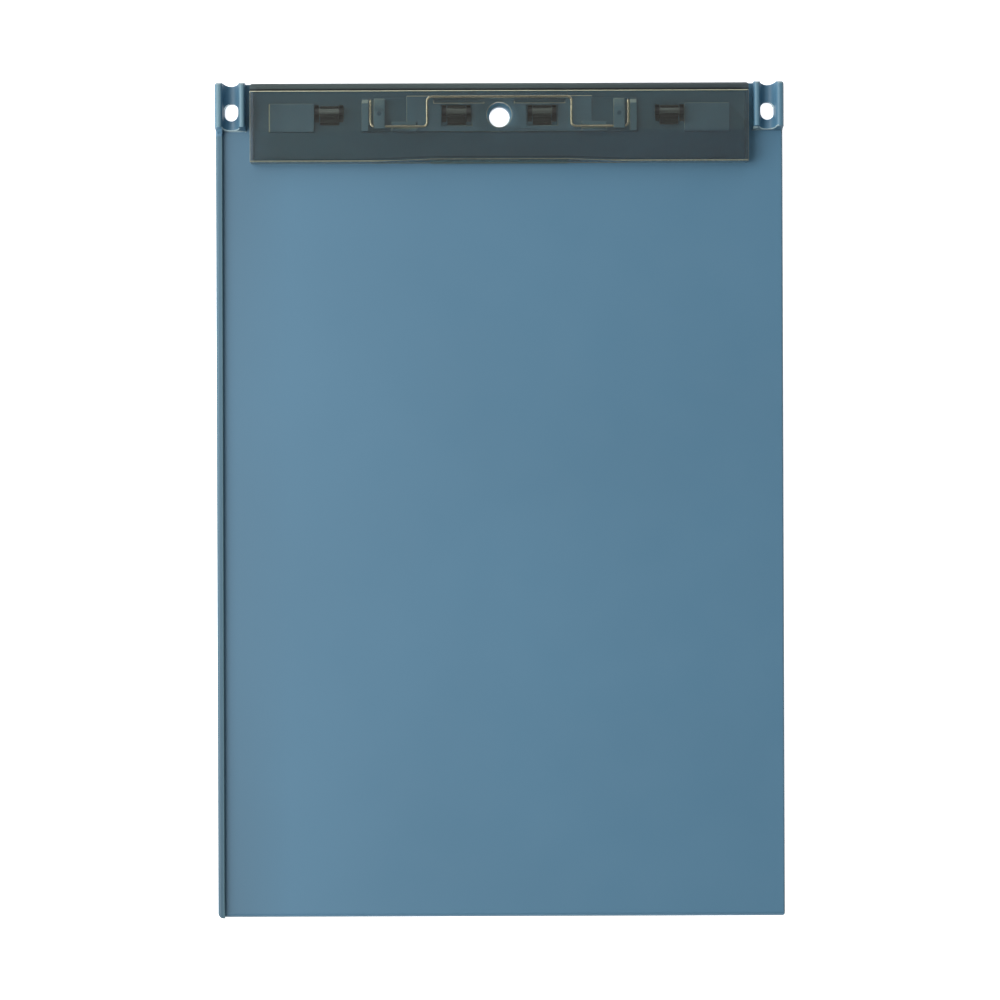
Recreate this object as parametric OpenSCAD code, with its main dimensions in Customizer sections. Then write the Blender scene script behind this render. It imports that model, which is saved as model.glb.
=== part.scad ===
// A4 clipboard with a sprung see-through clip, two corrugated carrying ears and a hanging hole.
// Millimetres. The board lies on its back: +Z points out of the writing face, +Y points to the
// clip end, and the origin is at the middle of the underside.
// Near the clip, places are given as a distance from the clip end of the board and a height
// above the writing face.

/* [Board] */
// Width of the board
board_w = 215; // [200:1:240]
// Length of the board, from the clip end to the front edge
board_l = 316; // [270:1:380]
// Thickness of the moulded plate
board_t = 2.5; // [2:0.1:4]
// Corner radius at the front left
left_corner_r = 2.3; // [1:0.1:8]
// Corner radius at the front right
right_corner_r = 1.5; // [1:0.1:8]
// Radius that rounds the front edge over
front_edge_r = 1.7; // [0.5:0.1:1.9]
// Radius that rounds the right edge over
right_edge_r = 0.9; // [0.3:0.1:1.9]

/* [Guide rib] */
// Width of the paper guide rib along the left edge
rib_w = 2.6; // [2:0.1:4]
// Height of the rib above the writing face
rib_h = 2; // [1:0.1:4]
// Radius on the outer edge of the rib
rib_outer_r = 1.2; // [0.4:0.1:1.5]
// Radius on the inner edge of the rib
rib_inner_r = 0.35; // [0.1:0.05:0.4]

/* [Ears] */
// Width of an ear
ear_w = 11.4; // [10:0.1:14]
// Length of an ear along the board
ear_l = 17.9; // [16:0.1:24]
// Height of the two crests above the writing face
ear_h = 5.5; // [5:0.1:7]
// Radius of the outer crest
outer_crest_r = 1.5; // [1.2:0.1:1.8]
// Radius of the inner crest
inner_crest_r = 1.2; // [0.9:0.1:1.5]
// Distance of the trough's lowest line from the outer edge
trough_x = 6; // [5.6:0.1:6.4]
// Height of the trough floor above the writing face
trough_h = 1; // [0.6:0.1:1.6]
// Width of the notch in the rear end of the trough
notch_w = 6; // [4:0.1:7]
// Depth of that notch
notch_depth = 0.9; // [0.4:0.1:1.5]
// Radius that rounds the rear end of the crests over
ear_end_r = 0.9; // [0.4:0.1:1.2]
// Radius of an ear's outer corner, seen from above
ear_corner_r = 1.1; // [0.5:0.1:2]
// How far an ear's front face leans back from its foot to the crests
ear_rake = 1.2; // [0.4:0.1:2]
// Width of the relief moulded under the trough
relief_w = 4.4; // [2:0.1:6]
// Depth of that relief
relief_depth = 1; // [0.4:0.1:1.5]
// Width of the cord hole
cord_hole_w = 5.4; // [4.2:0.1:5.8]
// Length of the cord hole
cord_hole_l = 6.6; // [6.2:0.1:8]
// Distance of the cord hole from the clip end
cord_hole_d = 10.7; // [9.5:0.1:11.5]

/* [Clip] */
// Gap between the clip and each ear
clip_side_gap = 2; // [1:0.1:5]
// Distance of the clip's rear edge from the clip end
clip_rear_d = 0.3; // [0.2:0.1:1]
// Distance of the jaw edge from the clip end
jaw_d = 30.2; // [28:0.1:40]
// Height of the clip's top face above the writing face
clip_h = 6.5; // [6.1:0.1:8]
// Wall thickness of the clip
clip_t = 2; // [1.6:0.1:2.2]
// Radius of the rounded press bar at the rear
nose_r = 1.45; // [1.2:0.05:1.6]
// Drop of the press bar below the top face
nose_drop = 0.45; // [0.2:0.05:0.8]
// Distance of the crease behind the top face from the clip end
crease_d = 3.35; // [3.3:0.05:3.8]
// Radius of the clip's rear corners, seen from above
clip_corner_r = 1.2; // [0.5:0.1:2.5]
// Thickness of the jaw's front wall
jaw_wall_t = 1.3; // [1.1:0.1:1.8]
// Width of the bevel along its upper edge
jaw_bevel = 0.35; // [0.2:0.05:0.6]
// Depth of the thumb recess in the middle of the front wall
thumb_depth = 0.9; // [0.5:0.1:1.2]
// Length over which the thumb recess runs out at each end
thumb_taper = 23; // [10:1:40]
// Height of the sill below the thumb recess
thumb_sill_h = 2; // [1.8:0.1:2.6]
// Gap left under the closed jaw for the sheets
jaw_gap = 0.3; // [0.2:0.1:1]
// Thickness of the end walls
end_wall_t = 1.2; // [1:0.1:2]
// Angle through which the clip opens
open_angle = 18; // [10:1:20]

/* [Jaw strip] */
// Length of the grip strip, and of the thumb recess above it
strip_l = 52; // [30:1:90]
// Depth of the rebate that holds the strip
strip_rebate = 1.05; // [0.8:0.05:1.2]
// Height of the rebate
strip_h = 1.1; // [0.8:0.05:1.3]
// How far the strip stands out in front of the jaw
strip_lip = 0.2; // [0.2:0.1:1]
// Clearance round the seated strip
strip_clear = 0.05; // [0.02:0.01:0.1]

/* [Hanging hole] */
// Diameter of the hanging hole in the board
hang_hole_d = 7.7; // [6:0.1:9]
// Distance of the hanging hole from the clip end
hang_hole_at = 12.6; // [12:0.1:13.5]
// Width of the clearance that the clip's hole leaves round it
hang_hole_margin = 0.85; // [0.5:0.05:1.5]

/* [Hinge] */
// Distance of the pivot from the clip end
pivot_d = 10.8; // [10.4:0.1:11.2]
// Height of the pivot above the writing face
pivot_h = 2.6; // [2.5:0.1:2.9]
// Diameter of a hinge pin
pin_d = 2.6; // [2:0.1:2.7]
// Running clearance of a pin in its bearing, on the radius
pin_run_clear = 0.05; // [0.02:0.01:0.1]
// Clearance of a pin in the clip's cheeks, on the radius
pin_press_clear = 0.01; // [0.01:0.01:0.02]
// Distance of the inner hinges from the middle of the board
inner_hinge_x = 16.2; // [14:0.1:18]
// Distance of the outer hinges from the clip's ends
outer_hinge_in = 29.8; // [24:0.1:33]
// Radius of the rounded end of a cheek
cheek_r = 2.1; // [1.9:0.1:2.2]
// Least gap between an outer hinge and the post inside it
hinge_post_gap = 1; // [0.5:0.1:2]
// Thickness of a cheek
cheek_t = 1.6; // [1.2:0.1:2.2]
// Distance of a cheek's front end from the clip end
cheek_front_d = 15; // [14:0.1:16]
// Gap between a cheek and its bearing
cheek_gap = 0.3; // [0.2:0.05:0.6]

/* [Bearings] */
// Width of a bearing
bearing_w = 7; // [5:0.1:8.5]
// Distance of a bearing's rear face from the clip end
bearing_rear_d = 8.4; // [8.2:0.1:8.6]
// Distance of a bearing's front face from the clip end
bearing_front_d = 15.5; // [15.2:0.1:15.9]
// Height of the base above the writing face
bearing_base_h = 1.2; // [0.8:0.1:1.3]
// Depth of the seat sunk in the board
seat_depth = 0.8; // [0.4:0.1:1.2]
// Clearance round the base in its seat
seat_clear = 0.1; // [0.05:0.05:0.2]
// Radius of the bearing's head
head_r = 2; // [1.9:0.05:2.1]
// Height of the head above the pivot
head_top = 0.9; // [0.8:0.05:1.1]
// Width of the slot through which the pin snaps in
snap_w = 2.3; // [1.6:0.1:2.4]
// Distance of the stop ledge from the clip end
ledge_d = 14.5; // [14:0.1:14.8]
// Width of the stop ledge
ledge_w = 1; // [0.6:0.1:1.2]
// Height of the stop ledge above the writing face
ledge_h = 2; // [1.5:0.1:2.4]

/* [Header] */
// Half the width of the low plateau under the clip
plateau_half_w = 52.2; // [52:0.1:54]
// Height of the low plateau above the writing face
plateau_h = 0.6; // [0.3:0.1:0.8]
// Half the width of the middle panel
panel_half_w = 35.2; // [32:0.1:38]
// Height of the middle panel above the writing face
panel_h = 1.2; // [0.9:0.1:1.2]
// Distance of the panel's rear edge from the clip end
panel_rear_d = 4.6; // [4.2:0.1:4.9]
// Distance of the plateau's rear edge from the clip end
plateau_rear_d = 5.3; // [5:0.1:5.6]
// Distance of the front edge of panel, plateau and pads from the clip end
header_front_d = 18.4; // [18.2:0.1:20]
// Distance of the outer pads' rear edge from the clip end
pad_rear_d = 7.5; // [6.5:0.1:9]
// Height of the outer pads above the writing face
pad_h = 1.2; // [0.6:0.1:1.5]
// Gap between an outer pad and the hinge beside it
pad_gap = 0.4; // [0.3:0.1:1]
// Gap between an outer pad and the end wall
pad_end_gap = 5.6; // [3:0.1:8]
// Clearance of the hinge window in the panel, on each side
window_clear = 0.4; // [0.3:0.05:0.6]
// Distance of the rear slots in the panel from the clip end
slot_d = 5.8; // [5.5:0.1:6]
// Width of the rear slots
slot_w = 1.5; // [0.6:0.1:1.6]
// Length of the rear slots
slot_l = 18.8; // [10:0.2:20]
// Distance of a rear slot's middle from the middle of the board
slot_x = 15.3; // [14:0.1:17]

/* [Spring] */
// Diameter of the spring wire
wire_d = 1; // [0.8:0.1:1.2]
// Bend radius at the middle of the wire
bend_r = 1.7; // [1.4:0.1:2.4]
// Distance of the torsion bars from the clip end
torsion_d = 16.4; // [16.2:0.1:16.6]
// Distance of the pressing bar from the clip end
press_bar_d = 5.5; // [5.3:0.1:5.7]
// Distance of the inner legs from the middle of the board
inner_leg_x = 27.3; // [26:0.1:29]
// Distance of the outer legs from the middle of the board
outer_leg_x = 48.8; // [48.5:0.1:49]
// Distance of the outer legs' ends from the clip end
leg_end_d = 6.2; // [5.9:0.1:7.5]
// Gap between the wire and what it lies against
wire_gap = 0.1; // [0.05:0.05:0.2]

/* [Spring seats] */
// Distance of a saddle's inner face from the middle of the board
saddle_x = 31.1; // [30.5:0.1:32]
// Length of a saddle along the wire
saddle_l = 9.8; // [6:0.1:10.5]
// Length of a saddle across the wire
saddle_w = 3.8; // [3:0.1:3.8]
// Diameter of the locating dimple beside the wire's groove
saddle_dimple_d = 1.1; // [0.6:0.1:1.2]
// Distance of that dimple from the saddle's outer end
saddle_dimple_in = 0.9; // [0.8:0.1:2]
// Distance of a keeper's inner face from the middle of the board
keeper_x = 43.2; // [42.5:0.1:43.6]
// Width of a keeper
keeper_w = 4.3; // [3:0.1:4.5]
// Thickness of a keeper
keeper_t = 1; // [0.8:0.1:1.2]
// Distance of a keeper's root from the clip end
keeper_rear_d = 5.8; // [5.6:0.1:6.4]
// Length of a keeper's root
keeper_root_l = 2.4; // [2:0.1:3]
// Height of a keeper's root above the writing face
keeper_root_h = 1.9; // [1.6:0.1:2.1]
// Distance at which a keeper's tongue levels out
keeper_level_d = 9.6; // [9:0.1:11]
// Diameter of the dimple in a keeper
dimple_d = 1.6; // [1:0.1:2.4]
// Depth of a dimple
dimple_depth = 0.35; // [0.2:0.05:0.5]
// Distance of the keeper's dimple from the clip end
dimple_at_d = 11.6; // [11:0.1:13]
// Width of a post beside an outer leg
post_w = 2.7; // [2:0.1:2.7]
// Height of a post above the writing face
post_h = 2.5; // [1.8:0.1:2.6]
// Length of the slope at a post's rear end
post_slope_l = 1.8; // [0.8:0.1:2.4]
// Distance of a post's rear end from the clip end
post_rear_d = 5.8; // [5.6:0.1:6.4]

/* [Hidden] */
$fn = 64;

// Cutters reach this far past the faces they cut
over = 1;
// Depth to which a rib or cheek is rooted in the wall that carries it
root = 0.4;

blue = [0.36, 0.50, 0.60];
smoke = [0.25, 0.29, 0.30, 0.6];
graphite = [0.14, 0.15, 0.15];
steel = [0.75, 0.72, 0.64];
rubber_grey = [0.22, 0.24, 0.24];

clip_w = board_w - 2 * (ear_w + clip_side_gap);
clip_under_h = clip_h - clip_t;
hinge_w = bearing_w + 2 * (cheek_gap + cheek_t);
wire_r = wire_d / 2;
torsion_h = panel_h + wire_gap + wire_r;
press_bar_h = clip_under_h - wire_gap - wire_r;
leg_end_h = plateau_h + wire_gap + wire_r;
keeper_under_h = torsion_h + wire_r + wire_gap;
post_x = outer_leg_x + wire_r + wire_gap;
outer_hinge_x = max(clip_w / 2 - outer_hinge_in, post_x + post_w + hinge_post_gap + hinge_w / 2);
hinge_xs = [-outer_hinge_x, -inner_hinge_x, inner_hinge_x, outer_hinge_x];
pad_inner_x = outer_hinge_x + hinge_w / 2 + pad_gap;
pad_outer_x = clip_w / 2 - end_wall_t - pad_end_gap;
thumb_w = strip_l;

// ---- helpers -----------------------------------------------------------------------------

// Sweeps a profile drawn as [-distance from the clip end, height above the face] along X
module along_x(length) {
    translate([0, board_l / 2, board_t])
        rotate([90, 0, 90])
            linear_extrude(length, center = true)
                children();
}

// Sweeps a profile drawn as [x, z] along Y, from one distance from the clip end to another
module along_y(from_d, to_d) {
    translate([0, board_l / 2 - from_d, 0])
        rotate([90, 0, 0])
            linear_extrude(to_d - from_d)
                children();
}

// Block on the writing face, from x0 to x1 and from one distance from the clip end to another
module face_block(x0, x1, from_d, to_d, height) {
    translate([x0, board_l / 2 - to_d, board_t - root])
        cube([x1 - x0, to_d - from_d, height + root]);
}

// What is left of a square corner outside its quarter circle; the arc's centre is the origin
module spandrel(r) {
    difference() {
        square(r + over);
        circle(r = r);
    }
}

module both_sides() {
    children();
    mirror([1, 0, 0]) children();
}

// ---- writing board -----------------------------------------------------------------------

module board_outline() {
    difference() {
        square([board_w, board_l], center = true);
        translate([-board_w / 2 + left_corner_r, -board_l / 2 + left_corner_r])
            rotate(180) spandrel(left_corner_r);
        translate([board_w / 2 - right_corner_r, -board_l / 2 + right_corner_r])
            rotate(270) spandrel(right_corner_r);
    }
}

module front_round_over() {
    translate([0, -board_l, 0])
        along_x(board_w + 2 * over)
            translate([front_edge_r, -front_edge_r])
                rotate(90) spandrel(front_edge_r);
}

module right_round_over() {
    along_y(ear_l, board_l + over)
        translate([board_w / 2 - right_edge_r, board_t - right_edge_r])
            spandrel(right_edge_r);
}

module rib_profile() {
    translate([-board_w / 2, board_t - root])
        difference() {
            square([rib_w, rib_h + root]);
            translate([rib_outer_r, rib_h + root - rib_outer_r])
                rotate(90) spandrel(rib_outer_r);
            translate([rib_w - rib_inner_r, rib_h + root - rib_inner_r])
                spandrel(rib_inner_r);
        }
}

// The rib starts inside the left ear and ends at the front corner's rounding
module guide_rib() {
    intersection() {
        along_y(ear_l - ear_rake, board_l) rib_profile();
        linear_extrude(board_t + rib_h + over) board_outline();
    }
}

// Slope from the left ear's outer crest down to the rib
module rib_ramp() {
    foot_d = ear_l + ear_rake;
    ramp_w = rib_w - rib_outer_r / 2;
    translate([-board_w / 2 + rib_w - ramp_w / 2, 0, 0])
        along_x(ramp_w)
            polygon([[-ear_l + ear_rake, -root], [-ear_l + ear_rake, ear_h - outer_crest_r],
                     [-foot_d, rib_h - rib_inner_r], [-foot_d, -root]]);
}

// Radius of the arc that touches a crest and, at a distance from it, the trough floor
function trough_r(half_pitch, rise, crest_r) =
    (pow(half_pitch, 2) + pow(rise, 2) - pow(crest_r, 2)) / (2 * (crest_r + rise));

// Crest and half of the trough, from the crest's outer side to the trough's lowest line
module half_ear_profile(half_w, crest_r) {
    crest_z = board_t + ear_h - crest_r;
    arc_r = trough_r(half_w - crest_r, ear_h - crest_r - trough_h, crest_r);
    arc_z = board_t + trough_h + arc_r;
    tangent_z = crest_z + crest_r * (arc_z - crest_z) / (crest_r + arc_r);
    difference() {
        square([half_w, tangent_z]);
        translate([half_w, arc_z]) circle(r = arc_r);
        translate([-over, crest_z]) square([crest_r + over, ear_h]);
    }
    translate([crest_r, crest_z]) circle(r = crest_r);
}

module ear_profile() {
    half_ear_profile(trough_x, outer_crest_r);
    translate([ear_w, 0])
        mirror([1, 0]) half_ear_profile(ear_w - trough_x, inner_crest_r);
}

// Side view of an ear: rounded over at the rear, leaning back at the front
module ear_side_profile() {
    difference() {
        polygon([[0, -board_t], [0, ear_h], [-ear_l + ear_rake, ear_h],
                 [-ear_l, 0], [-ear_l, -board_t]]);
        translate([-ear_end_r, ear_h - ear_end_r]) spandrel(ear_end_r);
    }
}

module ear() {
    intersection() {
        translate([board_w / 2, 0, 0])
            mirror([1, 0, 0])
                along_y(0, ear_l) ear_profile();
        along_x(board_w) ear_side_profile();
    }
}

// Rounds an ear's outer corner
module ear_corner() {
    translate([board_w / 2 - ear_corner_r, board_l / 2 - ear_corner_r, -over])
        linear_extrude(board_t + ear_h + 2 * over)
            spandrel(ear_corner_r);
}

// Notch in the rear end of the trough
module trough_notch() {
    notch_r = (pow(notch_w / 2, 2) + pow(notch_depth, 2)) / (2 * notch_depth);
    translate([board_w / 2 - trough_x, board_l / 2 + notch_r - notch_depth, -over])
        cylinder(r = notch_r, h = board_t + ear_h + 2 * over);
}

// Relief moulded into the underside below the trough
module ear_relief() {
    along_y(-over, ear_l)
        translate([board_w / 2 - trough_x - relief_w / 2, -over])
            square([relief_w, relief_depth + over]);
}

// The cord hole is a slot along the board
module cord_hole() {
    slot_r = cord_hole_w / 2;
    reach = cord_hole_l / 2 - slot_r;
    hole_z = board_t + ear_h + over;
    translate([board_w / 2 - trough_x, board_l / 2 - cord_hole_d, -over]) {
        for (end = [-reach, reach])
            translate([0, end, 0]) cylinder(r = slot_r, h = hole_z + over);
        translate([-slot_r, -reach, 0]) cube([cord_hole_w, 2 * reach, hole_z + over]);
    }
}

module header_panels() {
    face_block(-plateau_half_w, plateau_half_w, plateau_rear_d, header_front_d, plateau_h);
    face_block(-panel_half_w, panel_half_w, panel_rear_d, header_front_d, panel_h);
    both_sides() face_block(pad_inner_x, pad_outer_x, pad_rear_d, header_front_d, pad_h);
}

// Opening in the panel round an inner hinge, down to the writing face
module hinge_window(x) {
    half_w = hinge_w / 2 + window_clear;
    from_d = pivot_d - cheek_r - window_clear;
    to_d = max(bearing_front_d, cheek_front_d) + window_clear;
    translate([x - half_w, board_l / 2 - to_d, board_t])
        cube([2 * half_w, to_d - from_d, panel_h + over]);
}

module bearing_seat(x) {
    half_w = bearing_w / 2 + seat_clear;
    seat_l = bearing_front_d - bearing_rear_d + 2 * seat_clear;
    translate([x - half_w, board_l / 2 - bearing_front_d - seat_clear, board_t - seat_depth])
        cube([2 * half_w, seat_l, seat_depth + over]);
}

module rear_slot() {
    translate([slot_x - slot_l / 2, board_l / 2 - slot_d - slot_w, board_t])
        cube([slot_l, slot_w, panel_h + over]);
}

// Block under the wire with a groove that follows it, and a dimple in front of the groove
module saddle() {
    outer_x = saddle_x + saddle_l;
    front_d = torsion_d + saddle_w / 2;
    dimple_d_from_end = (front_d + torsion_d + wire_r + wire_gap) / 2;
    difference() {
        face_block(saddle_x, outer_x, torsion_d - saddle_w / 2, front_d, torsion_h);
        translate([saddle_x + saddle_l / 2, 0, 0])
            along_x(saddle_l + 2 * over)
                translate([-torsion_d, torsion_h]) circle(r = wire_r + wire_gap);
        translate([outer_x - saddle_dimple_in, board_l / 2 - dimple_d_from_end,
                   board_t + torsion_h - dimple_depth])
            cylinder(d = saddle_dimple_d, h = dimple_depth + over);
    }
}

// Springy tongue, rooted behind the wire, that reaches over it
module keeper() {
    top_h = keeper_under_h + keeper_t;
    front_d = torsion_d + wire_r + keeper_t / 2;
    root_front_d = keeper_rear_d + keeper_root_l;
    translate([keeper_x + keeper_w / 2, 0, 0])
        difference() {
            along_x(keeper_w)
                polygon([[-keeper_rear_d, -root], [-keeper_rear_d, keeper_root_h],
                         [-keeper_level_d, top_h], [-front_d, top_h],
                         [-front_d, keeper_under_h], [-keeper_level_d - keeper_t, keeper_under_h],
                         [-root_front_d, keeper_root_h - keeper_t / 2], [-root_front_d, -root]]);
            translate([0, board_l / 2 - dimple_at_d, board_t + top_h - dimple_depth])
                cylinder(d = dimple_d, h = dimple_depth + over);
        }
}

// Rib that keeps the outer leg in place, sloped at its rear end
module post() {
    translate([post_x + post_w / 2, 0, 0])
        along_x(post_w)
            polygon([[-post_rear_d, -root], [-post_rear_d, post_h - post_slope_l],
                     [-post_rear_d - post_slope_l, post_h], [-header_front_d, post_h],
                     [-header_front_d, -root]]);
}

module writing_board() {
    color(blue)
        difference() {
            union() {
                difference() {
                    linear_extrude(board_t) board_outline();
                    front_round_over();
                    right_round_over();
                }
                guide_rib();
                rib_ramp();
                both_sides() ear();
                difference() {
                    header_panels();
                    for (side = [-1, 1]) hinge_window(side * inner_hinge_x);
                    both_sides() rear_slot();
                }
                both_sides() {
                    saddle();
                    keeper();
                    post();
                }
            }
            for (x = hinge_xs) bearing_seat(x);
            both_sides() {
                ear_relief();
                ear_corner();
                trough_notch();
                cord_hole();
            }
            translate([0, board_l / 2 - hang_hole_at, -over])
                cylinder(d = hang_hole_d, h = board_t + panel_h + 2 * over);
        }
}

// ---- clip --------------------------------------------------------------------------------

// Lowest height behind the pivot that stays clear of the board with the clip open
function relief_h(d) = jaw_gap + max(0, pivot_d - d) * tan(open_angle);
nose_d = clip_rear_d + nose_r;
nose_h = clip_h - nose_drop - nose_r;

module nose_profile() {
    translate([-nose_d, nose_h]) circle(r = nose_r);
}

module plate_profile() {
    polygon([[-crease_d, clip_h], [-jaw_d + jaw_bevel, clip_h], [-jaw_d, clip_h - jaw_bevel],
             [-jaw_d, jaw_gap], [-jaw_d + jaw_wall_t, jaw_gap],
             [-jaw_d + jaw_wall_t, clip_under_h], [-nose_d, clip_under_h],
             [-nose_d, nose_h + nose_r / 2], [-crease_d, nose_h + nose_r / 2]]);
    nose_profile();
}

// The same outline, filled down to just above the board
module end_wall_profile() {
    polygon([[-crease_d, clip_h], [-jaw_d + jaw_bevel, clip_h], [-jaw_d, clip_h - jaw_bevel],
             [-jaw_d, jaw_gap], [-pivot_d, jaw_gap],
             [-nose_d, relief_h(nose_d)], [-nose_d, nose_h + nose_r / 2],
             [-crease_d, nose_h + nose_r / 2]]);
    nose_profile();
}

module cheek_profile() {
    translate([-pivot_d, pivot_h]) circle(r = cheek_r);
    polygon([[-pivot_d + cheek_r, pivot_h], [-pivot_d + cheek_r, clip_under_h + root],
             [-cheek_front_d, clip_under_h + root], [-cheek_front_d, clip_under_h - root],
             [-pivot_d, pivot_h - cheek_r]]);
}

// Plan of the thumb recess, drawn from the jaw's front face as far as a distance in front of it
module thumb_plan(front) {
    half = thumb_w / 2;
    polygon([[-half - thumb_taper, 0], [-half, thumb_depth], [half, thumb_depth],
             [half + thumb_taper, 0], [half + thumb_taper, -front], [-half - thumb_taper, -front]]);
}

module thumb_recess() {
    translate([0, board_l / 2 - jaw_d, board_t + thumb_sill_h])
        linear_extrude(clip_h)
            thumb_plan(over);
}

// Keeps the front wall as thick behind the thumb recess as beside it
module thumb_backing() {
    translate([0, board_l / 2 - jaw_d + jaw_wall_t, board_t + jaw_gap])
        linear_extrude(clip_under_h - jaw_gap + root)
            thumb_plan(root);
}

// Rounds a rear corner of the clip
module clip_corner() {
    translate([clip_w / 2 - clip_corner_r, board_l / 2 - clip_rear_d - clip_corner_r, board_t])
        linear_extrude(clip_h + over)
            spandrel(clip_corner_r);
}

module strip_rebate() {
    along_x(strip_l + 2 * strip_clear)
        translate([-jaw_d - over, jaw_gap - over])
            square([strip_rebate + over, strip_h + over]);
}

module clip_plate() {
    color(smoke)
        difference() {
            union() {
                along_x(clip_w) plate_profile();
                thumb_backing();
                both_sides()
                    translate([clip_w / 2 - end_wall_t / 2, 0, 0])
                        along_x(end_wall_t) end_wall_profile();
                for (x = hinge_xs, side = [-1, 1])
                    translate([x + side * (hinge_w - cheek_t) / 2, 0, 0])
                        along_x(cheek_t) cheek_profile();
            }
            for (x = hinge_xs)
                translate([x, 0, 0])
                    along_x(hinge_w + over)
                        translate([-pivot_d, pivot_h])
                            circle(r = pin_d / 2 + pin_press_clear);
            strip_rebate();
            thumb_recess();
            both_sides() clip_corner();
            translate([0, board_l / 2 - hang_hole_at, board_t + clip_under_h - over])
                cylinder(r = hang_hole_d / 2 + hang_hole_margin, h = clip_t + 2 * over);
        }
}

// Grip strip with a rounded front edge, seated in the rebate of the jaw
module jaw_strip() {
    rear_d = jaw_d - strip_rebate + strip_clear;
    front_d = jaw_d + strip_lip;
    height = strip_h - strip_clear;
    edge_r = height / 2;
    color(rubber_grey)
        along_x(strip_l) {
            translate([-front_d + edge_r, jaw_gap])
                square([front_d - edge_r - rear_d, height]);
            translate([-front_d + edge_r, jaw_gap + edge_r]) circle(r = edge_r);
        }
}

// ---- hinges ------------------------------------------------------------------------------

module bearing_profile() {
    difference() {
        union() {
            translate([-bearing_front_d, -seat_depth])
                square([bearing_front_d - bearing_rear_d, seat_depth + bearing_base_h]);
            translate([-pivot_d - head_r, 0]) square([2 * head_r, pivot_h]);
            translate([-pivot_d, pivot_h]) circle(r = head_r);
            translate([-ledge_d - ledge_w / 2, 0]) square([ledge_w, ledge_h]);
        }
        translate([-pivot_d, pivot_h]) circle(r = pin_d / 2 + pin_run_clear);
        translate([-pivot_d - snap_w / 2, pivot_h]) square([snap_w, head_r + over]);
        translate([-pivot_d - head_r - over, pivot_h + head_top])
            square([2 * (head_r + over), head_r]);
    }
}

module bearing(x) {
    color(graphite)
        translate([x, 0, 0])
            along_x(bearing_w) bearing_profile();
}

module pin(x) {
    color(steel)
        translate([x - hinge_w / 2, board_l / 2 - pivot_d, board_t + pivot_h])
            rotate([0, 90, 0])
                cylinder(d = pin_d, h = hinge_w);
}

module bearing_outer_left() { bearing(-outer_hinge_x); }
module bearing_inner_left() { bearing(-inner_hinge_x); }
module bearing_inner_right() { bearing(inner_hinge_x); }
module bearing_outer_right() { bearing(outer_hinge_x); }
module pin_outer_left() { pin(-outer_hinge_x); }
module pin_inner_left() { pin(-inner_hinge_x); }
module pin_inner_right() { pin(inner_hinge_x); }
module pin_outer_right() { pin(outer_hinge_x); }

// ---- spring ------------------------------------------------------------------------------

// Straight wire in the drawing plane from one point to another
module wire_run(from, to) {
    step = to - from;
    translate([from.x, from.y, 0])
        rotate([0, 0, atan2(step.y, step.x)])
            rotate([0, 90, 0])
                cylinder(r = wire_r, h = norm(step));
}

// Quarter bend of the wire round a centre, starting at an angle
module wire_bend(centre, start) {
    translate([centre.x, centre.y, 0])
        rotate([0, 0, start])
            rotate_extrude(angle = 90)
                translate([bend_r, 0]) circle(r = wire_r);
}

// Turns the drawing plane about the torsion bars, so that its +Y climbs to a distance and height
module about_torsion_bar(d, h) {
    translate([0, board_l / 2 - torsion_d, board_t + torsion_h])
        rotate([atan2(h - torsion_h, torsion_d - d), 0, 0])
            children();
}

// Leg lengths are kept to a hundredth, so that the runs and bends of the wire meet exactly
function leg_length(d, h) = round(100 * norm([torsion_d - d, h - torsion_h])) / 100;
press_leg_l = leg_length(press_bar_d, press_bar_h);
outer_leg_l = leg_length(leg_end_d, leg_end_h);

// The pressing bow and each outer leg lie in planes of their own. Their ends meet in a collar, a
// trace thicker than the wire, on the torsion bar under the keeper
module torsion_spring() {
    bar_end_x = inner_leg_x - bend_r;
    meet_x = keeper_x + keeper_w / 2;
    half_gap = wire_r / 4;
    collar_l = 2 * wire_r;
    collar_r = wire_r + wire_gap / 4;
    color(steel)
        union() {
            about_torsion_bar(press_bar_d, press_bar_h) {
                wire_run([-bar_end_x, press_leg_l], [bar_end_x, press_leg_l]);
                both_sides() {
                    wire_bend([bar_end_x, press_leg_l - bend_r], 0);
                    wire_run([inner_leg_x, bend_r], [inner_leg_x, press_leg_l - bend_r]);
                    wire_bend([inner_leg_x + bend_r, bend_r], 180);
                    wire_run([inner_leg_x + bend_r, 0], [meet_x - half_gap, 0]);
                    translate([meet_x - collar_l / 2, 0, 0])
                        rotate([0, 90, 0])
                            cylinder(r = collar_r, h = collar_l);
                }
            }
            about_torsion_bar(leg_end_d, leg_end_h)
                both_sides() {
                    wire_run([meet_x + half_gap, 0], [outer_leg_x - bend_r, 0]);
                    wire_bend([outer_leg_x - bend_r, bend_r], 270);
                    wire_run([outer_leg_x, bend_r], [outer_leg_x, outer_leg_l]);
                }
        }
}

writing_board();
clip_plate();
jaw_strip();
torsion_spring();
bearing_outer_left();
bearing_inner_left();
bearing_inner_right();
bearing_outer_right();
pin_outer_left();
pin_inner_left();
pin_inner_right();
pin_outer_right();
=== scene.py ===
"""Looks of an A4 clipboard: matt moulded board, smoke see-through clip, bent wire spring."""

import math

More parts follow.
